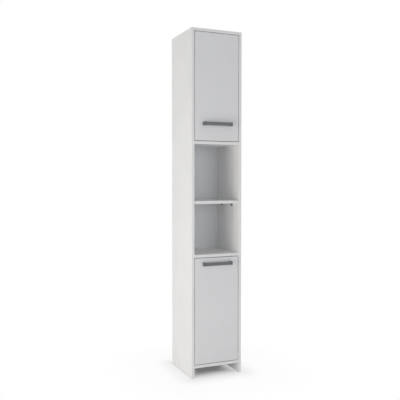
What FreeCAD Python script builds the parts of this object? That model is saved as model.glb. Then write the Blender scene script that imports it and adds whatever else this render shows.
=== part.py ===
"""Tall bathroom cabinet: a free-standing column of white boards with a door above, a door
below and an open compartment with one shelf between them.

Millimetres, +Z up. The origin is on the floor, in the middle of the width and in the middle
of the whole depth with the handles. The doors face -Y and hang on their right-hand side.
"""
import FreeCAD, Part
import os
import re
import Sketcher

# Driving dimensions, in millimetres.
SIZES = {
    # Outside of the cabinet, and the boards it is made of.
    "cabinet_width": 300,
    "cabinet_depth": 300,
    "cabinet_height": 1900,
    "board": 16,
    "edge_round": 0.7,
    "foot_height": 55,
    "open_height": 602,
    "door_gap": 3,
    # Back panel in its groove.
    "back_board": 3,
    "back_inset": 10,
    "groove_depth": 6,
    "groove_play": 0.5,
    # Clearance around everything that sits in a hole.
    "fit": 0.1,
    "pin_fit": 0.05,
    # Cam joints and dowels between the boards.
    "joint_inset": 40,
    "dowel_step": 32,
    "dowel_radius": 4,
    "dowel_length": 30,
    "dowel_in_side": 11.5,
    "chamfer": 1,
    "bore_end": 0.5,
    "cam_radius": 7.5,
    "cam_depth": 12.5,
    "cam_distance": 24,
    "cam_slot": 7.8,
    "cam_slot_floor": 4.1,
    "cam_recess_half": 3.4,
    "bolt_radius": 3,
    "bolt_in_side": 11,
    "bolt_neck_radius": 2.2,
    "bolt_collar": 1,
    "bolt_head_radius": 3.4,
    "bolt_head_length": 4.4,
    "bolt_bore_radius": 4,
    # Adjustable shelves on their supports.
    "shelf_play": 1,
    "open_shelf_level": 277,
    "open_shelf_setback": 2,
    "cupboard_shelf_level": 286,
    "cupboard_shelf_setback": 30,
    "support_front": 85,
    "support_back": 72,
    "support_width": 12,
    "support_reach": 10,
    "support_height": 18,
    "support_lip": 2.5,
    "support_toe": 3,
    "support_round": 1,
    "peg_radius": 2.5,
    "peg_length": 9,
    "peg_drop": 6,
    "pin_pitch": 32,
    # Floor glides.
    "glide_height": 3,
    "glide_radius": 7,
    "glide_inset": 25,
    "nail_radius": 1,
    "nail_length": 11,
    # Bow handles: two posts and a bar keyed into them. The margin, from the door's edge to the
    # handle's screw, keeps the screws clear of the hinge cups.
    "handle_margin": 52,
    "handle_reach": 25,
    "handle_height": 19.5,
    "post_width": 12,
    "post_round": 1,
    "bar_thickness": 9,
    "bar_setback": 0.6,
    "bar_shoulder": 0.6,
    "bar_round": 1.5,
    "tenon_length": 4,
    "upper_handle_rise": 91.5,
    "lower_handle_drop": 32.5,
    # Concealed hinges, measured back from the door's back face and in from the side panel.
    "hinge_end": 100,
    "cup_edge": 4,
    "cup_radius": 17.5,
    "cup_recess": 12,
    "cup_wall": 1,
    "cup_floor_gap": 0.3,
    "flange_rim": 1.2,
    "flange_thickness": 1.2,
    "ear_offset": 9.5,
    "ear_screw_spacing": 45,
    "ear_margin": 5,
    "ear_root_back": 8.75,
    "ear_root_half": 14,
    "pin_in": 13,
    "pin_back": 5,
    "pin_radius": 1.25,
    "pin_head": 0.8,
    "pin_head_radius": 2.125,
    "arm_nose": 3.5,
    "arm_width": 15,
    "arm_wall": 1.2,
    "arm_top": 18.2,
    "arm_rear_top": 13.2,
    "arm_foot": 5,
    "arm_mouth": 10,
    "arm_crank": 26,
    "arm_seat": 36,
    "arm_end": 64,
    "link_angle": 25,
    "link_end_gap": 1.1,
    "link_half": 2.1,
    "link_eye": 2.52,
    "link_play": 0.3,
    "wing_thickness": 2.4,
    "wing_length": 46,
    "wing_width": 14,
    "wing_back": 37,
    "wing_screw_spacing": 32,
    "rail_play": 0.2,
    "rail_front": 34,
    "rail_end": 62,
    "arm_screw_front": 42,
    "arm_screw_rear": 54,
    # Magnetic catches and their strike plates.
    "catch_width": 14,
    "catch_depth": 13,
    "catch_half_height": 15,
    "catch_ear": 9,
    "catch_ear_thickness": 3,
    "catch_ear_setback": 3,
    "catch_gap": 0.3,
    "magnet_width": 6,
    "magnet_depth": 9,
    "magnet_half_height": 10,
    "strike_thickness": 1.2,
    "strike_width": 12,
    "strike_length": 52,
    "strike_edge": 1.5,
    "strike_screw_spacing": 42,
    # Bracket that ties the cabinet to a wall.
    "bracket_width": 30,
    "bracket_foot": 40,
    "bracket_drop": 45,
    "bracket_steel": 2,
    "bracket_screw_back": 27,
    "bracket_screw_spacing": 16,
    "wall_hole_drop": 30,
    "wall_hole_radius": 2.75,
    # Small wood screws, arm screws and handle screws.
    "wood_screw_radius": 1.75,
    "wood_screw_head": 3.4,
    "wood_screw_head_height": 1.8,
    "wood_screw_length": 12,
    "machine_screw_radius": 2,
    "machine_screw_head": 3.6,
    "machine_screw_head_height": 2,
    "arm_screw_length": 8,
    "handle_screw_grip": 8,
    "screw_point": 2,
    # Shares of a pan head's radius that is flat on top, and of its height that stands straight.
    "pan_top": 0.6,
    "pan_side": 0.5,
    "recess_half": 2,
    "recess_arm": 0.5,
    "recess_depth": 1,
}
PIN_STEPS = (-3, -2, -1, 0, 1, 2, 3)

os.makedirs("parts", exist_ok=True)
doc = FreeCAD.newDocument("tall_bathroom_cabinet")
sheet = doc.addObject("Spreadsheet::Sheet", "Sizes")
for row, (alias, number) in enumerate(SIZES.items(), start=1):
    sheet.set(f"A{row}", alias.replace("_", " "))
    sheet.set(f"B{row}", str(number))
    sheet.setAlias(f"B{row}", alias)
doc.recompute()

# Lines that the pieces share, as formulas in the sheet's names.
LEFT = "(-cabinet_width / 2)"
LEFT_INSIDE = "(-cabinet_width / 2 + board)"
RIGHT_INSIDE = "(cabinet_width / 2 - board)"
FRONT = "(-(cabinet_depth - handle_reach) / 2)"
INSIDE_WIDTH = "(cabinet_width - 2 * board)"
INSIDE_DEPTH = "(cabinet_depth - back_inset - back_board)"
DOOR_BACK_Y = f"({FRONT} + board)"
BACK_FACE = f"({FRONT} + {INSIDE_DEPTH})"
DOOR_SPACE = "((cabinet_height - foot_height - 4 * board - open_height) / 2)"
LOWER_SHELF_Z = f"(foot_height + board + {DOOR_SPACE})"
UPPER_SHELF_Z = f"({LOWER_SHELF_Z} + board + open_height)"
TOP_Z = "(cabinet_height - board)"
DOOR_WIDTH = f"({INSIDE_WIDTH} - 2 * door_gap)"
DOOR_HEIGHT = f"({DOOR_SPACE} - 2 * door_gap)"
HANDLE_HALF = f"({DOOR_WIDTH} / 2 - handle_margin)"
LOWER_DOOR_Z = "(foot_height + board + door_gap)"
UPPER_DOOR_Z = f"({UPPER_SHELF_Z} + board + door_gap)"
JOINT_ROWS = ("joint_inset", f"({INSIDE_DEPTH} - joint_inset)")
DOWEL_ROWS = ("(joint_inset + dowel_step)", f"({INSIDE_DEPTH} - joint_inset - dowel_step)")
PEG_ROWS = ("support_front", f"({INSIDE_DEPTH} - support_back)")
CUP_IN = "(door_gap + cup_edge + cup_radius)"
CATCH_BACK = "(board + strike_thickness + catch_gap)"
CATCH_SCREW = "(catch_half_height + catch_ear / 2)"
WING_HALF = "(wing_screw_spacing / 2)"
FIXED_BOARDS = {
    "top_panel": TOP_Z,
    "upper_fixed_shelf": UPPER_SHELF_Z,
    "lower_fixed_shelf": LOWER_SHELF_Z,
    "bottom_panel": "foot_height",
}
SHELVES = {
    "open_shelf": f"({LOWER_SHELF_Z} + board + open_shelf_level)",
    "upper_cupboard_shelf": f"({UPPER_SHELF_Z} + board + cupboard_shelf_level)",
    "lower_cupboard_shelf": "(foot_height + board + cupboard_shelf_level)",
}
DOORS = {
    "upper": (UPPER_DOOR_Z, "upper_handle_rise"),
    "lower": (LOWER_DOOR_Z, f"({DOOR_HEIGHT} - lower_handle_drop)"),
}
HINGES = {
    "bottom": "hinge_end",
    "top": f"({DOOR_HEIGHT} - hinge_end)",
}

# Ways a piece is turned: where its own +Z points.
Vector = FreeCAD.Vector
Rotation = FreeCAD.Rotation
UP = Rotation()
UP_TURNED = Rotation(Vector(0, 0, 1), 180)
DOWN = Rotation(Vector(1, 0, 0), 180)
DOWN_TURNED = Rotation(Vector(0, 1, 0), 180)
TO_RIGHT = Rotation(Vector(0, 1, 0), 90)
TO_LEFT = Rotation(Vector(0, 1, 0), -90)
TO_BACK = Rotation(Vector(1, 0, 0), -90)
CUP_TURN = Rotation(Vector(-1, 0, 0), Vector(0, 0, 1), Vector(0, 1, 0), "ZXY")

parts = {}


def formula(text):
    """Write a formula the way the document does, with the sheet's name before each size."""
    return re.sub(r"[a-z_]+", lambda word: f"Sizes.{word[0]}" if word[0] in SIZES else word[0], str(text))


def bind(item, path, text):
    item.setExpression(path, formula(text))


def measure(text):
    return float(sheet.evalExpression(formula(text)))


def place(item, x, y, z, turn=UP):
    item.Placement = FreeCAD.Placement(Vector(), turn)
    bind(item, "Placement.Base.x", x)
    bind(item, "Placement.Base.y", y)
    bind(item, "Placement.Base.z", z)


def new_body(label):
    body = doc.addObject("PartDesign::Body", label)
    body.Label = label
    return body


def part(label, item):
    """Keep an object as one of the cabinet's sub-parts."""
    item.Label = label
    parts[label] = item
    return item


def box_outline(x_from, y_from, x_to, y_to):
    return [(x_from, y_from), (x_to, y_from), (x_to, y_to), (x_from, y_to)]


def draw_polygon(sketch, corners):
    points = [Vector(measure(x), measure(y), 0) for x, y in corners]
    first = sketch.GeometryCount
    count = len(points)
    for step in range(count):
        sketch.addGeometry(Part.LineSegment(points[step], points[(step + 1) % count]))
    for step, (x, y) in enumerate(corners):
        line = first + step
        following = first + (step + 1) % count
        sketch.addConstraint(Sketcher.Constraint("Coincident", line, 2, following, 1))
        for kind, text, number in (("DistanceX", x, points[step].x), ("DistanceY", y, points[step].y)):
            index = sketch.addConstraint(Sketcher.Constraint(kind, -1, 1, line, 1, number))
            bind(sketch, f"Constraints[{index}]", text)


def draw_circle(sketch, x, y, radius):
    centre = Vector(measure(x), measure(y), 0)
    circle = sketch.addGeometry(Part.Circle(centre, Vector(0, 0, 1), measure(radius)))
    for kind, text, number in (("DistanceX", x, centre.x), ("DistanceY", y, centre.y)):
        index = sketch.addConstraint(Sketcher.Constraint(kind, -1, 1, circle, 3, number))
        bind(sketch, f"Constraints[{index}]", text)
    index = sketch.addConstraint(Sketcher.Constraint("Radius", circle, measure(radius)))
    bind(sketch, f"Constraints[{index}]", radius)


def add_sketch(body, name, plane, start, outlines):
    """A sketch across X, Y or Z at a distance from the body's own origin.

    An outline is a list of corners, or a circle as (x, y, radius)."""
    sketch = body.newObject("Sketcher::SketchObject", name)
    roles = {"X": "YZ_Plane", "Y": "XZ_Plane", "Z": "XY_Plane"}
    support = next(item for item in body.Origin.OriginFeatures if item.Role == roles[plane])
    sketch.AttachmentSupport = [(support, "")]
    sketch.MapMode = "FlatFace"
    # The XZ plane faces -Y, so its distance counts the other way.
    bind(sketch, "AttachmentOffset.Base.z", f"-({start})" if plane == "Y" else start)
    for outline in outlines:
        if isinstance(outline, tuple):
            draw_circle(sketch, *outline)
        else:
            draw_polygon(sketch, outline)
    return sketch


def pad(body, name, plane, start, length, outlines):
    """Fill the outlines from start, length towards +X, +Y or +Z."""
    feature = body.newObject("PartDesign::Pad", f"{name}_pad")
    feature.Profile = add_sketch(body, f"{name}_outline", plane, start, outlines)
    feature.Reversed = plane == "Y"
    bind(feature, "Length", length)
    body.Tip = feature
    return feature


def pocket(body, name, plane, start, length, outlines):
    """Cut the outlines from start, length towards +X, +Y or +Z."""
    feature = body.newObject("PartDesign::Pocket", f"{name}_pocket")
    feature.Profile = add_sketch(body, f"{name}_outline", plane, start, outlines)
    feature.Reversed = plane != "Y"
    bind(feature, "Length", length)
    body.Tip = feature
    return feature


def round_edges(body, name, radius, chosen):
    """Round the edges whose middle passes the test."""
    doc.recompute()
    base = body.Tip
    names = []
    for number, edge in enumerate(base.Shape.Edges, start=1):
        middle = edge.valueAt((edge.FirstParameter + edge.LastParameter) / 2)
        if chosen(middle):
            names.append(f"Edge{number}")
    feature = body.newObject("PartDesign::Fillet", f"{name}_round")
    feature.Base = (base, names)
    bind(feature, "Radius", radius)
    body.Tip = feature
    return feature


def turned(label, profile):
    """A piece turned about its own Z axis, from (radius, height) corners."""
    body = new_body(label)
    sketch = add_sketch(body, f"{label}_profile", "Y", "0", [profile])
    feature = body.newObject("PartDesign::Revolution", f"{label}_turn")
    feature.Profile = sketch
    feature.ReferenceAxis = (sketch, ["V_Axis"])
    feature.Angle = 360
    body.Tip = feature
    return body


def copies(label, pattern, places):
    """The same small piece at each of its places, as separate solids of one sub-part."""
    links = []
    for number, (x, y, z, turn) in enumerate(places, start=1):
        link = doc.addObject("App::Link", f"{label}_{number}")
        link.LinkedObject = pattern
        place(link, x, y, z, turn)
        links.append(link)
    group = doc.addObject("Part::Compound", label)
    group.Links = links
    return part(label, group)


def one_copy(label, pattern, x, y, z, turn=UP):
    """The same piece again, as a sub-part of its own."""
    return copies(label, pattern, [(x, y, z, turn)])


def cross_recess(body, name, top):
    half = "recess_half"
    arm = "recess_arm"
    corners = [
        (f"-{half}", f"-{arm}"), (f"-{arm}", f"-{arm}"), (f"-{arm}", f"-{half}"),
        (arm, f"-{half}"), (arm, f"-{arm}"), (half, f"-{arm}"),
        (half, arm), (arm, arm), (arm, half),
        (f"-{arm}", half), (f"-{arm}", arm), (f"-{half}", arm),
    ]
    pocket(body, name, "Z", f"({top}) - recess_depth", "recess_depth", [corners])


def screw(label, head, head_height, radius, length):
    """A pan-head screw: it seats at Z = 0 and its shank points down."""
    body = turned(label, [
        ("0", head_height),
        (f"{head} * pan_top", head_height),
        (head, f"{head_height} * pan_side"),
        (head, "0"),
        (radius, "0"),
        (radius, f"-({length}) + screw_point"),
        ("0", f"-({length})"),
    ])
    cross_recess(body, f"{label}_recess", head_height)
    return body


# ---------------------------------------------------------------- side panels
def side_panel(label, x, hinge_side):
    """A full-height side. Its holes start from the face that looks into the cabinet."""
    def from_inside(depth):
        return "0" if hinge_side else f"board - ({depth})"

    body = part(label, new_body(label))
    pad(body, label, "Z", "0", "cabinet_height - glide_height",
        [box_outline("0", "0", "board", "cabinet_depth")])
    height = measure("cabinet_height - glide_height")
    thickness = measure("board")
    round_edges(body, label, "edge_round",
                lambda at: at.y < 0.1 or (at.z > height - 0.1 and min(at.x, thickness - at.x) < 0.1))
    groove_start = f"{INSIDE_DEPTH} - fit"
    groove_end = f"{INSIDE_DEPTH} + back_board + fit"
    groove_x = ("0", "groove_depth") if hinge_side else ("board - groove_depth", "board")
    pocket(body, f"{label}_groove", "Z", "0", "cabinet_height - glide_height",
           [box_outline(groove_x[0], groove_start, groove_x[1], groove_end)])
    middles = [f"{level} + board / 2 - glide_height" for level in FIXED_BOARDS.values()]
    depth = "bolt_in_side + bore_end"
    pocket(body, f"{label}_bolt_holes", "X", from_inside(depth), depth,
           [(y, z, "bolt_radius + fit") for y in JOINT_ROWS for z in middles])
    depth = "dowel_in_side + bore_end"
    pocket(body, f"{label}_dowel_holes", "X", from_inside(depth), depth,
           [(y, z, "dowel_radius + fit") for y in DOWEL_ROWS for z in middles])
    depth = "peg_length + bore_end"
    for shelf, level in SHELVES.items():
        rows = [f"{level} - peg_drop - glide_height + {step} * pin_pitch" for step in PIN_STEPS]
        pocket(body, f"{label}_{shelf}_holes", "X", from_inside(depth), depth,
               [(y, z, "peg_radius + fit") for y in PEG_ROWS for z in rows])
    nails = ("glide_inset", "cabinet_depth - glide_inset")
    pocket(body, f"{label}_nail_holes", "Z", "0", "nail_length + bore_end",
           [("board / 2", y, "nail_radius + fit") for y in nails])
    if hinge_side:
        depth = "wood_screw_length - wing_thickness + bore_end"
        screws = [
            ("board + wing_back", f"{door_z} + {at} + {sign} * {WING_HALF} - glide_height",
             "wood_screw_radius + fit")
            for door_z, handle in DOORS.values() for at in HINGES.values() for sign in (-1, 1)
        ]
    else:
        depth = "wood_screw_length - catch_ear_thickness + bore_end"
        screws = [
            (f"{CATCH_BACK} + (catch_ear_setback + catch_depth) / 2",
             f"{door_z} + {handle} + {sign} * {CATCH_SCREW} - glide_height", "wood_screw_radius + fit")
            for door_z, handle in DOORS.values() for sign in (-1, 1)
        ]
    pocket(body, f"{label}_screw_holes", "X", from_inside(depth), depth, screws)
    place(body, x, FRONT, "glide_height")


side_panel("left_side_panel", LEFT, False)
side_panel("right_side_panel", RIGHT_INSIDE, True)


# ---------------------------------------------------------------- boards between the sides
def fixed_board(label, level, depth, cams_above):
    """A board held between the sides by four cams and four dowels."""
    body = part(label, new_body(label))
    pad(body, label, "Z", "0", "board", [box_outline("0", "0", INSIDE_WIDTH, depth)])
    round_edges(body, label, "edge_round", lambda at: at.y < 0.1 and 1 < at.x < measure(INSIDE_WIDTH) - 1)
    cam_start = "board - cam_depth" if cams_above else "0"
    ends = ("cam_distance", f"{INSIDE_WIDTH} - cam_distance")
    pocket(body, f"{label}_cam_seats", "Z", cam_start, "cam_depth",
           [(x, y, "cam_radius + fit") for x in ends for y in JOINT_ROWS])
    dowel_bore = "dowel_length - dowel_in_side + bore_end"
    for side, bolt_start, dowel_start in (
            ("left", "0", "0"),
            ("right", f"{INSIDE_WIDTH} - cam_distance", f"{INSIDE_WIDTH} - ({dowel_bore})")):
        pocket(body, f"{label}_{side}_bolt_bores", "X", bolt_start, "cam_distance",
               [(y, "board / 2", "bolt_bore_radius") for y in JOINT_ROWS])
        pocket(body, f"{label}_{side}_dowel_bores", "X", dowel_start, dowel_bore,
               [(y, "board / 2", "dowel_radius + fit") for y in DOWEL_ROWS])
    place(body, LEFT_INSIDE, FRONT, level)
    return body


def groove_across(body, name, start):
    groove = box_outline("0", f"{INSIDE_DEPTH} - fit", INSIDE_WIDTH, f"{INSIDE_DEPTH} + back_board + fit")
    pocket(body, name, "Z", start, "groove_depth", [groove])


top_panel = fixed_board("top_panel", TOP_Z, "cabinet_depth", False)
groove_across(top_panel, "top_panel_groove", "0")
bracket_screws = [f"{INSIDE_WIDTH} / 2 + {sign} * bracket_screw_spacing / 2" for sign in (-1, 1)]
pocket(top_panel, "top_panel_screw_holes", "Z", "0", "wood_screw_length - bracket_steel + bore_end",
       [(x, f"{INSIDE_DEPTH} - bracket_screw_back", "wood_screw_radius + fit") for x in bracket_screws])
fixed_board("upper_fixed_shelf", UPPER_SHELF_Z, INSIDE_DEPTH, True)
fixed_board("lower_fixed_shelf", LOWER_SHELF_Z, INSIDE_DEPTH, False)
bottom_panel = fixed_board("bottom_panel", "foot_height", "cabinet_depth", False)
groove_across(bottom_panel, "bottom_panel_groove", "board - groove_depth")

# The thin back slides in the grooves. The wall screw goes through it and the bracket alike.
back_panel = part("back_panel", new_body("back_panel"))
BACK_REACH = "(groove_depth - groove_play)"
BACK_BOTTOM = f"(foot_height + board - {BACK_REACH})"
back_hole_z = f"{TOP_Z} - wall_hole_drop - {BACK_BOTTOM}"
pad(back_panel, "back_panel", "Y", "0", "back_board",
    [box_outline("0", "0", f"{INSIDE_WIDTH} + 2 * {BACK_REACH}", f"{TOP_Z} + {BACK_REACH} - {BACK_BOTTOM}")])
pocket(back_panel, "back_panel_hole", "Y", "0", "back_board",
       [(f"{INSIDE_WIDTH} / 2 + {BACK_REACH}", back_hole_z, "wall_hole_radius")])
place(back_panel, f"{LEFT_INSIDE} - {BACK_REACH}", BACK_FACE, BACK_BOTTOM)


# ---------------------------------------------------------------- adjustable shelves
def shelf(label, level, setback):
    body = part(label, new_body(label))
    width = f"{INSIDE_WIDTH} - 2 * shelf_play"
    pad(body, label, "Z", "0", "board",
        [box_outline("0", "0", width, f"{INSIDE_DEPTH} - ({setback}) - shelf_play")])
    round_edges(body, label, "edge_round", lambda at: at.y < 0.1 and 1 < at.x < measure(width) - 1)
    place(body, f"{LEFT_INSIDE} + shelf_play", f"{FRONT} + {setback}", level)


shelf("open_shelf", SHELVES["open_shelf"], "open_shelf_setback")
for name in ("upper_cupboard_shelf", "lower_cupboard_shelf"):
    shelf(name, SHELVES[name], "cupboard_shelf_setback")

# A support has a ledge under the shelf, a tapering rib below it and a peg into the side.
support = new_body("shelf_support")
pad(support, "support", "Y", "-support_width / 2", "support_width", [[
    ("0", "0"),
    ("support_reach", "0"),
    ("support_reach", "-support_lip"),
    ("support_toe", "-support_height"),
    ("0", "-support_height"),
]])
round_edges(support, "support", "support_round",
            lambda at: abs(at.y) < 0.1 and at.x > 0.1 and at.z < -0.1)
pad(support, "support_peg", "X", "-peg_length", "peg_length", [("0", "-peg_drop", "peg_radius")])
for name, level in SHELVES.items():
    copies(f"{name}_supports", support, [
        (x, f"{FRONT} + {y}", level, turn)
        for x, turn in ((LEFT_INSIDE, UP), (RIGHT_INSIDE, UP_TURNED)) for y in PEG_ROWS
    ])

# ---------------------------------------------------------------- cams, bolts and dowels
# A cam shows its recessed face at Z = 0; the slot for its bolt opens towards -X.
cam = turned("cam", [
    ("0", "0"), ("cam_radius", "0"), ("cam_radius", "cam_depth - fit"), ("0", "cam_depth - fit"),
])
pocket(cam, "cam_slot", "Z", "cam_slot_floor", "cam_depth",
       [box_outline("-cam_radius - fit", "-cam_slot / 2", "cam_slot / 2", "cam_slot / 2")])
pocket(cam, "cam_recess", "Z", "0", "recess_depth",
       [box_outline("-cam_recess_half", "-recess_arm", "cam_recess_half", "recess_arm")])
bolt = turned("cam_bolt", [
    ("0", "-bolt_in_side"),
    ("bolt_radius", "-bolt_in_side"),
    ("bolt_radius", "bolt_collar"),
    ("bolt_neck_radius", "bolt_collar"),
    ("bolt_neck_radius", "cam_distance - bolt_head_length / 2"),
    ("bolt_head_radius", "cam_distance - bolt_head_length / 2"),
    ("bolt_head_radius", "cam_distance + bolt_head_length / 2"),
    ("0", "cam_distance + bolt_head_length / 2"),
])
dowel = turned("dowel", [
    ("0", "-dowel_in_side"),
    ("dowel_radius - chamfer", "-dowel_in_side"),
    ("dowel_radius", "-dowel_in_side + chamfer"),
    ("dowel_radius", "dowel_length - dowel_in_side - chamfer"),
    ("dowel_radius - chamfer", "dowel_length - dowel_in_side"),
    ("0", "dowel_length - dowel_in_side"),
])
cam_places = []
bolt_places = []
dowel_places = []
for board_name, level in FIXED_BOARDS.items():
    above = board_name == "upper_fixed_shelf"
    face = f"{level} + board" if above else level
    for side_x, inward, turn, cam_turn in (
            (LEFT_INSIDE, "", TO_RIGHT, DOWN if above else UP),
            (RIGHT_INSIDE, "-", TO_LEFT, DOWN_TURNED if above else UP_TURNED)):
        for y in JOINT_ROWS:
            cam_places.append((f"{side_x} + {inward}cam_distance", f"{FRONT} + {y}", face, cam_turn))
            bolt_places.append((side_x, f"{FRONT} + {y}", f"{level} + board / 2", turn))
        for y in DOWEL_ROWS:
            dowel_places.append((side_x, f"{FRONT} + {y}", f"{level} + board / 2", turn))
copies("cam_locks", cam, cam_places)
copies("cam_bolts", bolt, bolt_places)
copies("wood_dowels", dowel, dowel_places)

# ---------------------------------------------------------------- floor glides
glide = turned("floor_glide", [
    ("0", "0"),
    ("glide_radius - chamfer", "0"),
    ("glide_radius", "chamfer"),
    ("glide_radius", "glide_height"),
    ("nail_radius", "glide_height"),
    ("nail_radius", "glide_height + nail_length - chamfer"),
    ("0", "glide_height + nail_length"),
])
copies("floor_glides", glide, [
    (x, f"{FRONT} + {y}", "0", UP)
    for x in (f"{LEFT} + board / 2", f"{RIGHT_INSIDE} + board / 2")
    for y in ("glide_inset", "(cabinet_depth - glide_inset)")
])

# ---------------------------------------------------------------- screws
wood_screw = screw("wood_screw", "wood_screw_head", "wood_screw_head_height",
                   "wood_screw_radius", "wood_screw_length")
arm_screw = screw("arm_screw", "machine_screw_head", "machine_screw_head_height",
                  "machine_screw_radius", "arm_screw_length")
handle_screw = screw("handle_screw", "machine_screw_head", "machine_screw_head_height",
                     "machine_screw_radius", "board + handle_screw_grip")

# ---------------------------------------------------------------- wall bracket
bracket = part("wall_bracket", new_body("wall_bracket"))
pad(bracket, "bracket", "X", "-bracket_width / 2", "bracket_width", [[
    ("-bracket_foot", "0"),
    ("-bracket_foot", "-bracket_steel"),
    ("-bracket_steel", "-bracket_steel"),
    ("-bracket_steel", "-bracket_drop"),
    ("0", "-bracket_drop"),
    ("0", "0"),
]])
pocket(bracket, "bracket_wall_hole", "Y", "-bracket_steel", "bracket_steel",
       [("0", "-wall_hole_drop", "wall_hole_radius")])
bracket_spots = [f"{sign} * bracket_screw_spacing / 2" for sign in (-1, 1)]
pocket(bracket, "bracket_screw_holes", "Z", "-bracket_steel", "bracket_steel",
       [(x, "-bracket_screw_back", "wood_screw_radius + fit") for x in bracket_spots])
place(bracket, "0", BACK_FACE, TOP_Z)
copies("wall_bracket_screws", wood_screw, [
    (x, f"{BACK_FACE} - bracket_screw_back", f"{TOP_Z} - bracket_steel", DOWN) for x in bracket_spots
])


# ---------------------------------------------------------------- doors
def door(name, door_z, handle_at):
    """An inset door: cup seats, cup screws, handle screws and strike screws are bored in it."""
    label = f"{name}_door"
    body = part(label, new_body(label))
    pad(body, label, "Y", "0", "board", [box_outline("0", "0", DOOR_WIDTH, DOOR_HEIGHT)])
    thickness = measure("board")
    round_edges(body, label, "edge_round", lambda at: at.y < 0.1 or at.y > thickness - 0.1)
    cup_x = f"{DOOR_WIDTH} + door_gap - {CUP_IN}"
    pocket(body, f"{label}_cup_seats", "Y", "board - cup_recess", "cup_recess",
           [(cup_x, at, "cup_radius + fit") for at in HINGES.values()])
    depth = "wood_screw_length - flange_thickness + bore_end"
    pocket(body, f"{label}_cup_screw_holes", "Y", f"board - ({depth})", depth, [
        (f"{cup_x} - ear_offset", f"{at} + {sign} * ear_screw_spacing / 2", "wood_screw_radius + fit")
        for at in HINGES.values() for sign in (-1, 1)
    ])
    pocket(body, f"{label}_handle_holes", "Y", "0", "board", [
        (f"{DOOR_WIDTH} / 2 + {sign} * {HANDLE_HALF}", handle_at, "machine_screw_radius + fit")
        for sign in (-1, 1)
    ])
    depth = "wood_screw_length - strike_thickness + bore_end"
    pocket(body, f"{label}_strike_holes", "Y", f"board - ({depth})", depth, [
        ("strike_edge + strike_width / 2", f"{handle_at} + {sign} * strike_screw_spacing / 2",
         "wood_screw_radius + fit")
        for sign in (-1, 1)
    ])
    place(body, f"{LEFT_INSIDE} + door_gap", FRONT, door_z)


for name, (door_z, handle_at) in DOORS.items():
    door(name, door_z, handle_at)

# ---------------------------------------------------------------- handles
# The posts' own origin is on the door's face; the handle stands out towards -Y.
post = new_body("handle_post")
pad(post, "post", "Y", "-handle_reach", "handle_reach",
    [box_outline("-post_width / 2", "-handle_height / 2", "post_width / 2", "handle_height / 2")])
round_edges(post, "post", "post_round", lambda at: at.y < -0.1)
pocket(post, "post_screw_hole", "Y", "-handle_screw_grip - bore_end", "handle_screw_grip + bore_end",
       [("0", "0", "machine_screw_radius + fit")])
bar_half = "(handle_height / 2 - bar_shoulder)"
bar_back = "(-handle_reach + bar_setback + bar_thickness)"
pocket(post, "post_socket", "X", "post_width / 2 - tenon_length - fit", "tenon_length + fit", [
    box_outline("-handle_reach + bar_setback + bar_shoulder - fit", f"-{bar_half} + bar_shoulder - fit",
                f"{bar_back} - bar_shoulder + fit", f"{bar_half} - bar_shoulder + fit")
])
bar_span = f"(2 * {HANDLE_HALF} - post_width)"
for name, (door_z, handle_at) in DOORS.items():
    middle_z = f"{door_z} + {handle_at}"
    bar = part(f"{name}_handle_bar", new_body(f"{name}_handle_bar"))
    pad(bar, f"{name}_bar", "X", f"-{bar_span} / 2", bar_span, [
        box_outline("-handle_reach + bar_setback", f"-{bar_half}", bar_back, bar_half)
    ])
    round_edges(bar, f"{name}_bar", "bar_round", lambda at: abs(at.x) < 0.1)
    pad(bar, f"{name}_bar_tenons", "X", f"-{bar_span} / 2 - tenon_length", f"{bar_span} + 2 * tenon_length", [
        box_outline("-handle_reach + bar_setback + bar_shoulder", f"-{bar_half} + bar_shoulder",
                    f"{bar_back} - bar_shoulder", f"{bar_half} - bar_shoulder")
    ])
    place(bar, "0", FRONT, middle_z)
    copies(f"{name}_handle_posts", post, [
        (f"-{HANDLE_HALF}", FRONT, middle_z, UP),
        (HANDLE_HALF, FRONT, middle_z, DOWN_TURNED),
    ])
    copies(f"{name}_handle_screws", handle_screw, [
        (f"{sign} * {HANDLE_HALF}", DOOR_BACK_Y, middle_z, TO_BACK) for sign in (-1, 1)
    ])

# ---------------------------------------------------------------- hinge cups
# Own frame of a cup: Z = 0 on the door's back, +Z into the cabinet, +X to the door's middle.
cup = turned("hinge_cup", [
    ("0", "-cup_recess + cup_floor_gap"),
    ("cup_radius", "-cup_recess + cup_floor_gap"),
    ("cup_radius", "0"),
    ("cup_radius + flange_rim", "0"),
    ("cup_radius + flange_rim", "flange_thickness"),
    ("cup_radius - cup_wall", "flange_thickness"),
    ("cup_radius - cup_wall", "-cup_recess + cup_floor_gap + cup_wall"),
    ("0", "-cup_recess + cup_floor_gap + cup_wall"),
])
ear_end = "(ear_screw_spacing / 2 + ear_margin)"
pad(cup, "cup_ears", "Z", "0", "flange_thickness", [[
    ("ear_offset + ear_margin", f"-{ear_end}"),
    ("ear_offset + ear_margin", ear_end),
    ("ear_offset - ear_margin", ear_end),
    ("-ear_root_back", "ear_root_half"),
    ("-ear_root_back", "-ear_root_half"),
    ("ear_offset - ear_margin", f"-{ear_end}"),
]])
pocket(cup, "cup_mouth", "Z", "0", "flange_thickness", [("0", "0", "cup_radius - cup_wall")])
pocket(cup, "cup_screw_holes", "Z", "0", "flange_thickness", [
    ("ear_offset", f"{sign} * ear_screw_spacing / 2", "wood_screw_radius + fit") for sign in (-1, 1)
])

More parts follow.
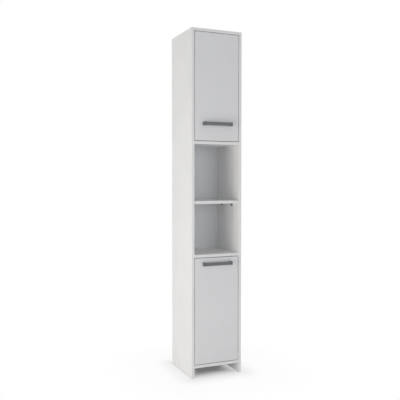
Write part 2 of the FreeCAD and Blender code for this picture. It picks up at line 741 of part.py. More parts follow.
# ---------------------------------------------------------------- hinge arms and plates
# Own frame: X from the side panel into the cabinet, Y back from the door's back face.
arm = new_body("hinge_arm")
pad(arm, "arm", "Z", "-arm_width / 2", "arm_width", [[
    ("pin_in - arm_nose", "pin_back"),
    ("pin_in", "pin_back"),
    ("pin_in + arm_nose", "pin_back"),
    ("arm_top", "arm_mouth"),
    ("arm_top", "arm_crank"),
    ("arm_rear_top", "arm_seat"),
    ("arm_rear_top", "arm_end"),
    ("arm_foot", "arm_end"),
    ("arm_foot", "arm_seat"),
    ("pin_in - arm_nose", "arm_crank"),
]])
pad(arm, "arm_nose", "Z", "-arm_width / 2", "arm_width", [("pin_in", "pin_back", "arm_nose")])
pocket(arm, "arm_hollow", "Z", "-(arm_width / 2 - arm_wall)", "arm_width - 2 * arm_wall", [[
    ("0", "0"),
    ("2 * arm_top", "0"),
    ("2 * arm_top", "arm_mouth"),
    ("arm_top - arm_wall", "arm_mouth"),
    ("arm_top - arm_wall", "arm_crank"),
    ("arm_rear_top - arm_wall", "arm_seat"),
    ("arm_rear_top - arm_wall", "arm_end + fit"),
    ("0", "arm_end + fit"),
]])
pocket(arm, "arm_pin_hole", "Z", "-arm_width / 2", "arm_width",
       [("pin_in", "pin_back", "pin_radius + pin_fit")])
pocket(arm, "arm_screw_holes", "X", "arm_rear_top - arm_wall", "arm_wall",
       [(y, "0", "machine_screw_radius + fit") for y in ("arm_screw_front", "arm_screw_rear")])

plate = new_body("hinge_plate")
rail_half = "(arm_width / 2 - arm_wall - rail_play)"
pad(plate, "plate_wings", "X", "0", "wing_thickness", [
    box_outline("wing_back - wing_width / 2", "-wing_length / 2",
                "wing_back + wing_width / 2", "wing_length / 2")
])
pad(plate, "plate_rail", "X", "0", "arm_rear_top - arm_wall",
    [box_outline("rail_front", f"-{rail_half}", "rail_end", rail_half)])
pocket(plate, "plate_wing_holes", "X", "0", "wing_thickness",
       [("wing_back", f"{sign} * {WING_HALF}", "wood_screw_radius + fit") for sign in (-1, 1)])
plate_bore = "arm_screw_length - arm_wall + bore_end"
pocket(plate, "plate_rail_holes", "X", f"arm_rear_top - arm_wall - ({plate_bore})", plate_bore,
       [(y, "0", "machine_screw_radius + fit") for y in ("arm_screw_front", "arm_screw_rear")])

# A link is a bar with round ends: its own origin is on the arm's pin, +X along the bar.
link_half_width = "(arm_width / 2 - arm_wall - link_play)"
cup_reach = f"sqrt((cup_radius - cup_wall) ^ 2 - {link_half_width} ^ 2)"
link_length = f"(({CUP_IN} + {cup_reach} - link_end_gap - link_half - pin_in) / cos(link_angle * 1deg))"
link_bar = new_body("hinge_link")
link_start = f"-{link_half_width}"
link_width = f"2 * {link_half_width}"
pad(link_bar, "link_bar", "Z", link_start, link_width,
    [box_outline("0", "-link_half", link_length, "link_half")])
pad(link_bar, "link_eye", "Z", link_start, link_width, [("0", "0", "link_eye")])
pad(link_bar, "link_tip", "Z", link_start, link_width, [(link_length, "0", "link_half")])
pocket(link_bar, "link_pin_hole", "Z", link_start, link_width, [("0", "0", "pin_radius + pin_fit")])
LINK_TURN = Rotation(Vector(0, 0, 1), 180 + measure("link_angle"))

pin_half = "(arm_width / 2 + pin_head)"
arm_pin = turned("hinge_pin", [
    ("0", f"-{pin_half}"),
    ("pin_head_radius", f"-{pin_half}"),
    ("pin_head_radius", "-arm_width / 2"),
    ("pin_radius", "-arm_width / 2"),
    ("pin_radius", "arm_width / 2"),
    ("pin_head_radius", "arm_width / 2"),
    ("pin_head_radius", pin_half),
    ("0", pin_half),
])

arm_screw_places = []
wing_screw_places = []
pin_places = []
for name, (door_z, handle_at) in DOORS.items():
    cup_screw_places = []
    for end, at in HINGES.items():
        hinge_z = f"{door_z} + {at}"
        label = f"{name}_door_{end}"
        one_copy(f"{label}_hinge_arm", arm, RIGHT_INSIDE, DOOR_BACK_Y, hinge_z, DOWN_TURNED)
        one_copy(f"{label}_hinge_plate", plate, RIGHT_INSIDE, DOOR_BACK_Y, hinge_z, DOWN_TURNED)
        one_copy(f"{label}_hinge_link", link_bar, f"{RIGHT_INSIDE} - pin_in", f"{DOOR_BACK_Y} + pin_back",
                 hinge_z, LINK_TURN)
        one_copy(f"{label}_hinge_cup", cup, f"{RIGHT_INSIDE} - {CUP_IN}", DOOR_BACK_Y, hinge_z, CUP_TURN)
        pin_places.append((f"{RIGHT_INSIDE} - pin_in", f"{DOOR_BACK_Y} + pin_back", hinge_z, UP))
        for y in ("arm_screw_front", "arm_screw_rear"):
            arm_screw_places.append((f"{RIGHT_INSIDE} - arm_rear_top", f"{DOOR_BACK_Y} + {y}",
                                     hinge_z, TO_LEFT))
        for sign in (-1, 1):
            wing_screw_places.append((f"{RIGHT_INSIDE} - wing_thickness", f"{DOOR_BACK_Y} + wing_back",
                                      f"{hinge_z} + {sign} * {WING_HALF}", TO_LEFT))
            cup_screw_places.append((f"{RIGHT_INSIDE} - {CUP_IN} - ear_offset",
                                     f"{DOOR_BACK_Y} + flange_thickness",
                                     f"{hinge_z} + {sign} * ear_screw_spacing / 2", TO_BACK))
    copies(f"{name}_hinge_cup_screws", wood_screw, cup_screw_places)
copies("hinge_arm_screws", arm_screw, arm_screw_places)
copies("hinge_plate_screws", wood_screw, wing_screw_places)
copies("hinge_arm_pins", arm_pin, pin_places)

# ---------------------------------------------------------------- catches and strikes
# Own frame of a catch: X from the side panel into the cabinet, Y back from its front face.
catch = new_body("catch")
pad(catch, "catch_block", "X", "0", "catch_width",
    [box_outline("0", "-catch_half_height", "catch_depth", "catch_half_height")])
round_edges(catch, "catch_block", "post_round", lambda at: at.x > measure("catch_width") - 0.1)
pad(catch, "catch_ears", "X", "0", "catch_ear_thickness", [
    box_outline("catch_ear_setback", "-catch_half_height - catch_ear", "catch_depth",
                "catch_half_height + catch_ear")
])
pocket(catch, "catch_magnet_seat", "Y", "0", "magnet_depth + fit", [
    box_outline("(catch_width - magnet_width) / 2 - fit", "-magnet_half_height - fit",
                "(catch_width + magnet_width) / 2 + fit", "magnet_half_height + fit")
])
pocket(catch, "catch_screw_holes", "X", "0", "catch_ear_thickness", [
    ("(catch_ear_setback + catch_depth) / 2", f"{sign} * {CATCH_SCREW}", "wood_screw_radius + fit")
    for sign in (-1, 1)
])
magnet = new_body("magnet")
pad(magnet, "magnet", "Y", "0", "magnet_depth", [
    box_outline("(catch_width - magnet_width) / 2", "-magnet_half_height",
                "(catch_width + magnet_width) / 2", "magnet_half_height")
])
strike = new_body("strike")
pad(strike, "strike", "Y", "0", "strike_thickness",
    [box_outline("0", "-strike_length / 2", "strike_width", "strike_length / 2")])
pocket(strike, "strike_holes", "Y", "0", "strike_thickness", [
    ("strike_width / 2", f"{sign} * strike_screw_spacing / 2", "wood_screw_radius + fit") for sign in (-1, 1)
])
magnet_places = []
catch_screw_places = []
for name, (door_z, handle_at) in DOORS.items():
    middle_z = f"{door_z} + {handle_at}"
    one_copy(f"{name}_magnet_catch", catch, LEFT_INSIDE, f"{FRONT} + {CATCH_BACK}", middle_z)
    magnet_places.append((LEFT_INSIDE, f"{FRONT} + {CATCH_BACK}", middle_z, UP))
    strike_x = f"{LEFT_INSIDE} + door_gap + strike_edge"
    one_copy(f"{name}_strike_plate", strike, strike_x, f"{FRONT} + board", middle_z)
    for sign in (-1, 1):
        catch_screw_places.append((f"{LEFT_INSIDE} + catch_ear_thickness",
                                   f"{FRONT} + {CATCH_BACK} + (catch_ear_setback + catch_depth) / 2",
                                   f"{middle_z} + {sign} * {CATCH_SCREW}", TO_RIGHT))
    copies(f"{name}_strike_screws", wood_screw, [
        (f"{strike_x} + strike_width / 2", f"{FRONT} + board + strike_thickness",
         f"{middle_z} + {sign} * strike_screw_spacing / 2", TO_BACK)
        for sign in (-1, 1)
    ])
copies("catch_magnets", magnet, magnet_places)
copies("catch_screws", wood_screw, catch_screw_places)

# ---------------------------------------------------------------- checks and files
doc.recompute()
for item in doc.Objects:
    if "Invalid" in item.State or "Error" in item.State:
        raise RuntimeError(f"{item.Name} failed: {item.State}")
    if item.TypeId == "PartDesign::Pocket" and item.Shape.Volume > item.BaseFeature.Shape.Volume - 0.01:
        raise RuntimeError(f"{item.Name} cuts nothing")
for label, item in parts.items():
    if item.Shape.isNull() or not item.Shape.isValid():
        raise RuntimeError(f"{label} has no valid shape")
    item.Shape.exportStep(f"parts/{label}.step")
    print(label, len(item.Shape.Solids), round(item.Shape.Volume, 1))
print(len(parts), "sub-parts")
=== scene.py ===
# %% [markdown]
# # The looks of a tall bathroom cabinet
#
# The cabinet is a narrow column of white melamine-faced boards with a door above, a door below and
# an open compartment between them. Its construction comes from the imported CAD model, which stays
# as it is. This file adds what a camera sees: the finish of every board and fitting, the light,
# the floor and the camera.
#
# Everything is in metres. The cabinet stands on Z = 0, its doors face -Y, and its left side, on
# the viewer's left, is towards -X.

import math

import bmesh
import bpy
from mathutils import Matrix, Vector


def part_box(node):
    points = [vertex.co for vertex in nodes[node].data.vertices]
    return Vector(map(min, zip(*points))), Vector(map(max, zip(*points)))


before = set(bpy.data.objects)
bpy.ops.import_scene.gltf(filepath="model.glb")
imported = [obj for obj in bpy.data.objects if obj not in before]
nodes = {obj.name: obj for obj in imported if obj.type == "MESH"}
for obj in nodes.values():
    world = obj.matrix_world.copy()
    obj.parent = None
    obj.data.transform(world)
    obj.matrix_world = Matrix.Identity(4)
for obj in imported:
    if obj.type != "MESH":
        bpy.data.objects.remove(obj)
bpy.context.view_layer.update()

# %% [markdown]
# ## The camera
#
# The photograph was taken from the left of the doors, a little above the cabinet's middle and
# about three metres away, with the camera held almost level. The camera was worked out from the
# straight edges of the cabinet: how fast they run together gives the direction and the distance,
# and the row where they would meet gives the height. It could also be set by eye with the picture
# as a background, but a fit to many edges is closer than an eye, and its numbers can be written
# down.

# %% Camera
MM = 0.001
camera_data = bpy.data.cameras.new("camera")
camera = bpy.data.objects.new("camera", camera_data)
bpy.context.scene.collection.objects.link(camera)
bpy.context.scene.camera = camera
camera_turn = math.radians(23.32)
camera_dip = math.radians(2)
focal_pixels = 589.8
picture_pixels = 400
camera.location = (-1.3665, -3.0723, 1.087)
camera.rotation_euler = (math.radians(90) - camera_dip, 0, -camera_turn)
camera_data.sensor_width = 36
camera_data.lens = camera_data.sensor_width * focal_pixels / picture_pixels
camera_data.dof.use_dof = False
print("lens", round(camera_data.lens, 2), "mm")

# %% [markdown]
# ## Shader maths
#
# A finish is worked out from where a point lies on the cabinet. In the node editor that is a web
# of Math nodes, and in Python it reads best as plain sums. `Field` wraps one output socket: adding,
# subtracting or multiplying fields adds the Math node that does it. Every other node comes from
# its `node` method, which takes the node's type, its settings and what goes into its sockets.

# %% Field: a value that changes over a surface
class Field:
    """An output socket of a shader node, with arithmetic."""

    def __init__(self, socket):
        self.socket = socket

    def node(self, kind, settings, inputs):
        """Add a node to the same material and return its first working output."""
        tree = self.socket.id_data
        made = tree.nodes.new(kind)
        for name, value in settings.items():
            if name == "stops":
                set_stops(made.color_ramp, value)
            else:
                setattr(made, name, value)
        for name, value in inputs.items():
            socket = find_input(made, name)
            if isinstance(value, Field):
                tree.links.new(value.socket, socket)
            else:
                socket.default_value = value
        return Field(next(output for output in made.outputs if output.enabled))

    def maths(self, operation, *others):
        """Put this field and the others through a Math node."""
        inputs = dict(enumerate((self, *others)))
        return self.node("ShaderNodeMath", {"operation": operation}, inputs)

    def __add__(self, other):
        return self.maths("ADD", other)

    def __radd__(self, other):
        return self.maths("ADD", other)

    def __sub__(self, other):
        return self.maths("SUBTRACT", other)

    def __rsub__(self, other):
        return self.node("ShaderNodeMath", {"operation": "SUBTRACT"}, {0: other, 1: self})

    def __mul__(self, other):
        return self.maths("MULTIPLY", other)

    def __rmul__(self, other):
        return self.maths("MULTIPLY", other)

    def __abs__(self):
        return self.maths("ABSOLUTE")

    def smaller(self, other):
        return self.maths("MINIMUM", other)

    def larger(self, other):
        return self.maths("MAXIMUM", other)

    def step(self, low, high):
        """0 below low, 1 above high, and a smooth step between them."""
        ends = {"Value": self, "From Min": low, "From Max": high}
        return self.node("ShaderNodeMapRange", {"interpolation_type": "SMOOTHSTEP"}, ends)

    def axes(self):
        """The X, Y and Z of a direction or place."""
        split = self.node("ShaderNodeSeparateXYZ", {}, {0: self}).socket.node
        return [Field(output) for output in split.outputs]


def find_input(made, name):
    """A socket by its number, or by its name among the sockets in use."""
    if isinstance(name, int):
        return made.inputs[name]
    return next(socket for socket in made.inputs if socket.enabled and socket.name == name)


def set_stops(ramp, stops):
    """Give a colour ramp these (place, colour) stops."""
    while len(ramp.elements) > 1:
        ramp.elements.remove(ramp.elements[-1])
    ramp.elements[0].position = stops[0][0]
    ramp.elements[0].color = (*stops[0][1], 1)
    for place, colour in stops[1:]:
        ramp.elements.new(place).color = (*colour, 1)


print("Field is ready")

# %% [markdown]
# ## Patterns that the finishes share
#
# Noise makes the small unevenness that every real finish has: pores, orange peel, rolling marks.
# Its scale is in cells per metre, because the coordinates are the cabinet's own, in metres. A
# Mapping node stretches it along a grain. Colours are blended with a Mix node, because a Math node
# would turn a colour grey.

# %% Noise, cells, colour mixing and bumps
def noise(place, scale, detail=3, stretch=(1, 1, 1)):
    """Cloudy noise, about 0.5 on average."""
    mapped = place.node("ShaderNodeMapping", {}, {"Vector": place, "Scale": stretch})
    inputs = {"Vector": mapped, "Scale": scale, "Detail": detail}
    return place.node("ShaderNodeTexNoise", {"normalize": True}, inputs)


def cells(place, scale, stretch=(1, 1, 1)):
    """A random number for each cell of a broken-up pattern, from 0 to 1."""
    mapped = place.node("ShaderNodeMapping", {}, {"Vector": place, "Scale": stretch})
    inputs = {"Vector": mapped, "Scale": scale}
    cell = place.node("ShaderNodeTexVoronoi", {"feature": "F1"}, inputs).socket.node
    return Field(cell.outputs["Color"]).axes()[0]


def mix(first, second, share):
    """The first colour, turning into the second as share goes from 0 to 1."""
    inputs = {"Factor": share}
    for name, colour in (("A", first), ("B", second)):
        inputs[name] = colour if isinstance(colour, Field) else (*colour, 1)
    return share.node("ShaderNodeMix", {"data_type": "RGBA"}, inputs)


def ramp(share, *stops):
    """Turn a number into a colour through (place, colour) stops."""
    return share.node("ShaderNodeValToRGB", {"stops": stops}, {0: share})


def bump(height, distance):
    """A relief that stands this many metres high where height is 1."""
    inputs = {"Height": height, "Distance": distance, "Strength": 1}
    return height.node("ShaderNodeBump", {}, inputs)


print("patterns are ready")

# %% [markdown]
# ## Starting and finishing a material
#
# Every material starts from Texture Coordinate's Object output, which is the place on the cabinet,
# and ends in one Principled shader. Numbers that are the same all over are set on the shader's own
# sockets, and only what changes over the surface is linked.

# %% New material and its shader
def new_material(name):
    """A material with an empty graph, and the field of places on it."""
    material = bpy.data.materials.new(name)
    material.use_nodes = True
    coordinates = material.node_tree.nodes.new("ShaderNodeTexCoord")
    return material, Field(coordinates.outputs["Object"])


def dress(material, **sockets):
    """Set or link the sockets of the material's Principled shader."""
    shader = material.node_tree.nodes["Principled BSDF"]
    for name, value in sockets.items():
        socket = shader.inputs[name.replace("_", " ")]
        if isinstance(value, Field):
            material.node_tree.links.new(value.socket, socket)
        else:
            socket.default_value = value
    return material


print("material helpers are ready")

# %% [markdown]
# ## Coated boards
#
# Such furniture is made of particle board with a white melamine skin on both faces. A strip of
# plastic edge band is glued to the edges that show, and a hairline seam is left where it meets the
# face. The edges at the back and underneath stay raw, and so do the walls of every bored hole and
# groove, so brown chips show there. The skin is satin with a faint pebbled texture.
#
# All of that follows from one question: how deep does this point lie inside the board? On a face
# the answer is zero, and in a hole or groove it isn't. Each board's own box gives the answer.

# %% How deep a point lies inside a board
SKIN = 0.4 * MM
BAND = 0.8 * MM
SEAM = 0.12 * MM


def depth_in(place, low, high):
    """Distance to the nearest of a box's six faces, for a place inside it."""
    nearest = None
    for axis, at in enumerate(place.axes()):
        inside = (at - low[axis]).smaller(high[axis] - at)
        nearest = inside if nearest is None else nearest.smaller(inside)
    return nearest


def edge_seam(y, front):
    """The hairline where the front edge's band meets the faces."""
    return 1 - abs(y - (front + BAND)).step(SEAM * 0.4, SEAM)


print("a board's skin is", SKIN / MM, "mm and its edge band", BAND / MM, "mm")

# %% Raw particle board
CHIP_DARK = (0.19, 0.105, 0.052)
CHIP_MIDDLE = (0.38, 0.245, 0.135)
CHIP_PALE = (0.56, 0.41, 0.26)
CHIPS_PER_METRE = 620
CHIP_STRETCH = (1, 1, 2.2)


def raw_chips(place):
    """Pressed wood chips: short flat flakes of different browns, and dust between them."""
    flakes = cells(place, CHIPS_PER_METRE, stretch=CHIP_STRETCH)
    dust = noise(place, 1800, detail=2)
    blend = flakes * 0.7 + dust * 0.3
    return ramp(blend, (0.15, CHIP_DARK), (0.45, CHIP_MIDDLE), (0.8, CHIP_PALE))


print("raw board colours:", CHIP_DARK, CHIP_MIDDLE, CHIP_PALE)


# %% White board
WHITE = (0.86, 0.858, 0.855)
WHITE_SHADE = (0.835, 0.833, 0.83)
SEAM_GREY = (0.62, 0.61, 0.59)
HANDLED = (0.80, 0.795, 0.775)
SCUFFED_HEIGHT = 45 * MM


def white_board(name, raw_edges):
    """Melamine board. raw_edges names the sides without a band: back, bottom."""
    low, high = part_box(name)
    material, place = new_material(f"white_board_{name}")
    _, y, z = place.axes()
    cloud = noise(place, 5, detail=2)
    pores = noise(place, 1400, detail=2)
    pebbles = noise(place, 420, detail=3)
    skin = mix(WHITE, WHITE_SHADE, cloud.step(0.35, 0.7))
    skin = mix(skin, WHITE_SHADE, pores.step(0.62, 0.78) * 0.6)
    depth = depth_in(place, low, high)
    skin = mix(skin, SEAM_GREY, edge_seam(y, low.y) * 0.55)
    raw = depth.step(SKIN, SKIN * 2)
    if "back" in raw_edges:
        raw = raw.larger((y - (high.y - 0.3 * MM)).step(0, 0.1 * MM))
    if "bottom" in raw_edges:
        raw = raw.larger(1 - (z - low.z).step(0.2 * MM, 0.3 * MM))
        scuffs = noise(place, 60, detail=4).step(0.52, 0.75)
        near_floor = 1 - (z - low.z).step(0, SCUFFED_HEIGHT)
        skin = mix(skin, HANDLED, scuffs * near_floor * 0.7)
    relief = pebbles * 0.6 + pores * 0.4
    chips = cells(place, CHIPS_PER_METRE, stretch=CHIP_STRETCH)
    return dress(
        material,
        Base_Color=mix(skin, raw_chips(place), raw),
        Roughness=0.36 + pebbles * 0.14 + raw * 0.4,
        Normal=bump(relief + raw * chips * 3, 0.02 * MM),
        Specular_IOR_Level=0.45,
    )


print("white board:", WHITE)

# %% [markdown]
# ## Doors
#
# The doors are the same size of board but look a touch greyer and smoother than the carcass: a
# white foil over fine fibreboard. Their four edges are rounded and covered by the same foil, so no
# band seam shows, and only the screw holes and cup seats in the back show the brown fibre.

# %% Door finish
DOOR_WHITE = (0.80, 0.80, 0.81)
DOOR_SHADE = (0.78, 0.78, 0.79)
FIBRE_DARK = (0.27, 0.175, 0.10)
FIBRE_PALE = (0.40, 0.28, 0.17)


def door_finish(name):
    """Foil over fibreboard, with a faint orange peel."""
    low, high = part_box(name)
    material, place = new_material(f"door_front_{name}")
    peel = noise(place, 260, detail=2)
    cloud = noise(place, 4, detail=2)
    fine = noise(place, 2200, detail=2)
    foil = mix(DOOR_WHITE, DOOR_SHADE, cloud.step(0.3, 0.7))
    fibre = ramp(fine, (0.3, FIBRE_DARK), (0.7, FIBRE_PALE))
    raw = depth_in(place, low, high).step(SKIN * 1.6, SKIN * 2.4)
    return dress(
        material,
        Base_Color=mix(foil, fibre, raw),
        Roughness=0.30 + peel * 0.12 + raw * 0.45,
        Normal=bump(peel * 0.8 + fine * 0.2, 0.018 * MM),
        Specular_IOR_Level=0.5,
    )


print("door foil:", DOOR_WHITE)

# %% [markdown]
# ## Back panel
#
# A cabinet's back is a thin hardboard that slides in grooves. Its inside is painted white, and its
# outside is left as it comes from the press: a brown mat of fibres with the weave of the press
# screen in it. The white has a faint bluish cast, which is painted cool shade of the deep
# compartment.

# %% Hardboard back
# The inside white carries a faint bluish cast: painted cool shade of the open compartment.
BACK_WHITE_WITH_PAINTED_COOL_SHADE = (0.79, 0.80, 0.825)
BACK_SHADE = (0.77, 0.77, 0.765)
HARDBOARD = (0.33, 0.21, 0.12)
HARDBOARD_DARK = (0.25, 0.155, 0.085)
HARDBOARD_FLECK = (0.44, 0.31, 0.19)
SCREEN_WAVES = 2400  # radians in a metre, which is a mesh of about 2.6 mm


def hardboard_back(name):
    """Paint on the front face, brown fibres with the press screen's weave behind."""
    low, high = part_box(name)
    material, place = new_material("white_back")
    x, y, z = place.axes()
    fibres = noise(place, 240, detail=5, stretch=(1, 1, 3))
    speckle = noise(place, 1500, detail=2)
    paint = mix(BACK_WHITE_WITH_PAINTED_COOL_SHADE, BACK_SHADE, speckle.step(0.45, 0.8))
    brown = mix(HARDBOARD, HARDBOARD_DARK, fibres.step(0.35, 0.65))
    brown = mix(brown, HARDBOARD_FLECK, speckle.step(0.66, 0.8) * 0.6)
    raw = (y - low.y).step(0.3 * MM, 0.5 * MM)
    weave = (x * SCREEN_WAVES).maths("SINE") * (z * SCREEN_WAVES).maths("SINE")
    return dress(
        material,
        Base_Color=mix(paint, brown, raw),
        Roughness=0.42 + raw * 0.38,
        Normal=bump(speckle * 0.5 + weave * raw * 0.6, 0.03 * MM),
        Specular_IOR_Level=0.4,
    )


print("hardboard:", HARDBOARD)

# %% [markdown]
# ## Handles and shelf supports
#
# The bow handles are cast and painted a dark satin grey. The posts read a shade darker than the
# bar between them. Paint on a casting has a slight orange peel, and it wears a little brighter
# where hands pass. The shelf supports are grey moulded plastic with a spark-eroded texture.

# %% Painted handles
def handle_paint(name, colour, worn):
    """Satin paint on a casting, a little brighter where hands have worn it."""
    material, place = new_material(name)
    peel = noise(place, 900, detail=2)
    grain = noise(place, 3200, detail=2)
    touched = noise(place, 45, detail=3)
    paint = mix(colour, worn, touched.step(0.45, 0.8) * 0.5)
    return dress(
        material,
        Base_Color=mix(paint, worn, grain.step(0.68, 0.8) * 0.4),
        Roughness=0.34 + touched * 0.14,
        Normal=bump(peel * 0.7 + grain * 0.3, 0.02 * MM),
        Specular_IOR_Level=0.5,
        Coat_Weight=0.15,
        Coat_Roughness=0.3,
    )


# %% Moulded plastic
def moulded_plastic(name, colour, shade, roughness):
    """Plastic from a spark-eroded mould, with faint flow lines."""
    material, place = new_material(name)
    sparks = noise(place, 2600, detail=2)
    flow = noise(place, 120, detail=3, stretch=(1, 3, 1))
    tint = mix(colour, shade, flow.step(0.35, 0.7))
    return dress(
        material,
        Base_Color=mix(tint, shade, sparks.step(0.6, 0.75) * 0.5),
        Roughness=roughness + sparks * 0.14,
        Normal=bump(sparks, 0.015 * MM),
        Specular_IOR_Level=0.45,
    )


print("paint and plastic are ready")

# %% [markdown]
# ## Metal fittings
#
# Hinges, strike plates and the wall bracket are stamped from nickel-plated steel strip, which
# keeps fine rolling lines. Screws are turned and plated. Cams are die-cast zinc, duller and with a
# sandy skin.

# %% Plated steel and cast zinc
ZINC = (0.55, 0.55, 0.56)
ZINC_DULL = (0.40, 0.40, 0.42)


def plated_steel(name, bright, dull, roughness, lines):
    """Nickel on rolled steel; lines stretches the rolling marks along an axis."""
    material, place = new_material(name)
    rolling = noise(place, 900, detail=3, stretch=lines)
    haze = noise(place, 90, detail=3)
    return dress(
        material,
        Base_Color=mix(bright, dull, haze.step(0.35, 0.75)),
        Metallic=1.0,
        Roughness=roughness + rolling * 0.16,
        Normal=bump(rolling, 0.01 * MM),
    )


def cast_zinc(name):
    """Die-cast zinc, duller and sandier than plating."""
    material, place = new_material(name)
    sand = noise(place, 2200, detail=3)
    haze = noise(place, 160, detail=2)
    return dress(
        material,
        Base_Color=mix(ZINC, ZINC_DULL, haze.step(0.35, 0.7)),
        Metallic=0.95,
        Roughness=0.42 + sand * 0.2,
        Normal=bump(sand, 0.02 * MM),
    )


print("metals are ready")

# %% Beech dowels and magnets
BEECH_DARK = (0.52, 0.33, 0.19)
BEECH_PALE = (0.70, 0.50, 0.32)
BEECH_FLECK = (0.40, 0.24, 0.13)
FERRITE_DARK = (0.035, 0.035, 0.038)
FERRITE_PALE = (0.07, 0.07, 0.072)


def beech(name):
    """Dowels lie across the cabinet, so their grain runs along X."""
    material, place = new_material(name)
    grain = noise(place, 700, detail=4, stretch=(0.06, 1, 1))
    flecks = noise(place, 1500, detail=2, stretch=(0.2, 1, 1))
    wood = ramp(grain, (0.3, BEECH_DARK), (0.7, BEECH_PALE))
    return dress(
        material,
        Base_Color=mix(wood, BEECH_FLECK, flecks.step(0.62, 0.75) * 0.6),
        Roughness=0.55 + grain * 0.15,
        Normal=bump(grain, 0.03 * MM),
    )


def ferrite(name):
    """Pressed magnet block: almost black, ground flat."""
    material, place = new_material(name)
    ground = noise(place, 1500, detail=3, stretch=(1, 1, 0.1))
    return dress(
        material,
        Base_Color=mix(FERRITE_DARK, FERRITE_PALE, ground.step(0.4, 0.7)),
        Roughness=0.45 + ground * 0.15,
        Normal=bump(ground, 0.01 * MM),
    )


print("beech and ferrite are ready")

# %% [markdown]
# ## Dressing the CAD nodes
#
# The record names a material slot for each node. Boards get a material of their own, because the
# seam and the raw edges depend on where that board lies. The other slots share one material each.

# %% Materials by slot
BOARD_EDGES = {
    "left_side_panel": ("back", "bottom"),
    "right_side_panel": ("back", "bottom"),
    "top_panel": ("back",),
    "bottom_panel": ("back",),
}
PAINTS = {
    "handle_bar_grey": ((0.135, 0.14, 0.15), (0.17, 0.175, 0.185)),
    "handle_post_grey": ((0.105, 0.11, 0.12), (0.14, 0.145, 0.155)),
}
PLASTICS = {
    "support_grey": ((0.20, 0.20, 0.21), (0.15, 0.15, 0.16), 0.4),
    "glide_plastic": ((0.80, 0.80, 0.78), (0.74, 0.74, 0.72), 0.45),
    "white_plastic": ((0.80, 0.80, 0.79), (0.74, 0.74, 0.73), 0.35),
}
STEELS = {
    "nickel_steel": ((0.70, 0.68, 0.64), (0.60, 0.58, 0.55), 0.22, (1, 1, 0.05)),
    "screw_steel": ((0.72, 0.71, 0.69), (0.58, 0.57, 0.56), 0.26, (1, 1, 1)),
}
shared = {
    "white_back": hardboard_back("back_panel"),
    "zinc_cam": cast_zinc("zinc_cam"),
    "dowel_wood": beech("dowel_wood"),
    "magnet_black": ferrite("magnet_black"),
}
for finish, rows in ((handle_paint, PAINTS), (moulded_plastic, PLASTICS), (plated_steel, STEELS)):
    for slot_name, values in rows.items():
        shared[slot_name] = finish(slot_name, *values)
print("shared finishes:", sorted(shared))

# %% Give each node its finish
for name, node in nodes.items():
    for slot in node.material_slots:
        kind = slot.material.name.split(".")[0]
        if kind == "white_board":
            slot.material = white_board(name, BOARD_EDGES.get(name, ()))
        elif kind == "door_front":
            slot.material = door_finish(name)
        else:
            slot.material = shared[kind]
used = {slot.material for node in nodes.values() for slot in node.material_slots}
print("dressed", len(nodes), "nodes in", len(used), "materials")

# %% [markdown]
# ## Floor
#
# The photograph's floor is plain white, as bright as the background, with a dark soft shadow
# under the cabinet. One large disc does it. More lamp light would also wash out the cabinet, so
# for what the camera sees directly a share of the floor's light is its own glow. The share is
# nothing under the cabinet and grows to all of it half a metre away. Where the glow is held back,
# under and around the cabinet, the floor is darker: a painted shadow round the cabinet's footprint.
# The rest is lit and keeps the real shadow.

# %% Floor disc
FLOOR_RADIUS = 25
floor_mesh = bpy.data.meshes.new("floor")
disc = bmesh.new()
bmesh.ops.create_circle(disc, cap_ends=True, radius=FLOOR_RADIUS, segments=96)
disc.to_mesh(floor_mesh)
disc.free()
floor = bpy.data.objects.new("floor", floor_mesh)
bpy.context.scene.collection.objects.link(floor)
print("floor faces:", len(floor_mesh.polygons))

# %% Floor finish
FLOOR_WHITE = (0.88, 0.88, 0.88)
FLOOR_SPECK = (0.86, 0.86, 0.86)
# No glow under the cabinet, so the floor there is darkened by painted shadow on top of the real
# one.
GLOW_UNDER_CABINET_IN_PAINTED_SHADOW = 0.0
# Each row adds a share of the floor's own glow, from one distance to another, in metres outside
# the cabinet's rectangle; a distance below zero lies under the cabinet. Where the shares add up to
# less than one, near and under the cabinet, the missing glow is a painted shadow.
GLOW_SHARES_WITH_PAINTED_SHADOW = ((0.58, -0.1, 0.015), (0.36, -0.02, 0.12), (0.06, 0.08, 0.5))
floor_material, floor_place = new_material("floor_white")
floor_tree = floor_material.node_tree
speck = noise(floor_place, 40, detail=3)
dress(
    floor_material,
    Base_Color=mix(FLOOR_WHITE, FLOOR_SPECK, speck.step(0.4, 0.7)),
    Roughness=0.85,
    Specular_IOR_Level=0.1,
)


def seen_directly(field):
    """1 for a ray from the camera, or one that metal or glass sends on."""
    path = field.node("ShaderNodeLightPath", {}, {}).socket.node
    names = ("Is Camera Ray", "Is Glossy Ray", "Is Transmission Ray")
    rays = [Field(path.outputs[name]) for name in names]
    return rays[0].larger(rays[1]).larger(rays[2])


def distance_outside(place, low, high):
    """How far a place on the floor lies outside the cabinet's rectangle; negative inside."""
    x, y, _ = place.axes()
    over_x = abs(x - (low.x + high.x) / 2) - (high.x - low.x) / 2
    over_y = abs(y - (low.y + high.y) / 2) - (high.y - low.y) / 2
    corner = over_x.larger(0).maths("POWER", 2) + over_y.larger(0).maths("POWER", 2)
    return corner.maths("SQRT") + over_x.larger(over_y).smaller(0)


foot_low, foot_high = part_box("left_side_panel")
foot_high.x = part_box("right_side_panel")[1].x
outside = distance_outside(floor_place, foot_low, foot_high)
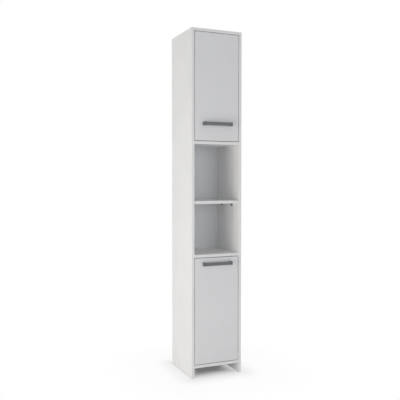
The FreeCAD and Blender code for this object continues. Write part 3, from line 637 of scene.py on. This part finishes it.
# The glow grows with distance from the cabinet, and where it is held back the floor carries a
# painted shadow.
glow_with_painted_shadow = GLOW_UNDER_CABINET_IN_PAINTED_SHADOW
for share, start, end in GLOW_SHARES_WITH_PAINTED_SHADOW:
    glow_with_painted_shadow = glow_with_painted_shadow + share * outside.step(start, end)
glow = floor_place.node("ShaderNodeEmission", {}, {"Color": (1, 1, 1, 1), "Strength": 1})
lit = Field(floor_tree.nodes["Principled BSDF"].outputs[0])
seen_glow_with_painted_shadow = seen_directly(floor_place) * glow_with_painted_shadow
floor_mix = floor_place.node("ShaderNodeMixShader", {}, {0: seen_glow_with_painted_shadow, 1: lit, 2: glow})
floor_tree.links.new(floor_mix.socket, floor_tree.nodes["Material Output"].inputs["Surface"])
floor_mesh.materials.append(floor_material)
print("under the cabinet the floor's own light is", GLOW_UNDER_CABINET_IN_PAINTED_SHADOW)

# %% [markdown]
# ## Light
#
# The picture has soft studio light. The left side of the cabinet is the brightest and slightly
# warm, most of all below its middle, the doors are a little dimmer and cooler, and the open
# compartment darkens towards its back corners. A pale world gives the even part. One softbox
# stands low on the left, another further away, and a wide one in front fills the compartment. Two
# more light what the photograph doesn't show: the top from overhead, and the right side and the
# back from behind.

# %% World
WORLD_LIGHT = 0.42
WORLD_TINT = (0.965, 0.978, 1)
world = bpy.data.worlds.new("studio")
bpy.context.scene.world = world
world.use_nodes = True
world_tree = world.node_tree
ambient = Field(world_tree.nodes["Background"].outputs[0])
world_tree.nodes["Background"].inputs["Color"].default_value = (*WORLD_TINT, 1)
world_tree.nodes["Background"].inputs["Strength"].default_value = WORLD_LIGHT
backdrop = ambient.node("ShaderNodeBackground", {}, {"Color": (1, 1, 1, 1), "Strength": 1})
sky = ambient.node("ShaderNodeMixShader", {}, {0: seen_directly(ambient), 1: ambient, 2: backdrop})
world_tree.links.new(sky.socket, world_tree.nodes["World Output"].inputs["Surface"])
print("world light:", WORLD_LIGHT)


# %% Softboxes
def softbox(name, place, aim, size, power, colour):
    """A large area lamp at a place, aimed at a point; size is its width and height."""
    data = bpy.data.lights.new(name, "AREA")
    data.shape = "RECTANGLE"
    data.size, data.size_y = size
    data.energy = power
    data.color = colour
    lamp = bpy.data.objects.new(name, data)
    lamp.location = place
    lamp.rotation_euler = (Vector(aim) - Vector(place)).to_track_quat("-Z", "Y").to_euler()
    bpy.context.scene.collection.objects.link(lamp)
    return lamp


WARM = (1, 0.975, 0.92)
COOL = (0.98, 0.985, 1)
NEUTRAL = (1, 1, 1)
middle = (0, 0, 0.95)
softbox("low_left_softbox", (-2.4, -1.0, 0.6), (0, 0, 0.6), (1.2, 1.0), power=20.5, colour=WARM)
softbox("far_left_softbox", (-3.6, -0.4, 1.2), (0, 0, 0.8), (1.6, 1.6), power=12.2, colour=WARM)
softbox("front_softbox", (0.2, -4.4, 1.25), middle, (3.0, 1.8), power=27.4, colour=COOL)
softbox("overhead_softbox", (0, 0.2, 4.6), (0, 0, 1.9), (1.6, 1.6), power=20, colour=NEUTRAL)
softbox("right_softbox", (2.8, 1.6, 1.3), middle, (1.4, 1.4), power=24, colour=NEUTRAL)

# %% [markdown]
# ## Colour management
#
# The view transform is set to Standard, so that a colour comes out as it was written.

# %% Colour management
bpy.context.scene.view_settings.view_transform = "Standard"
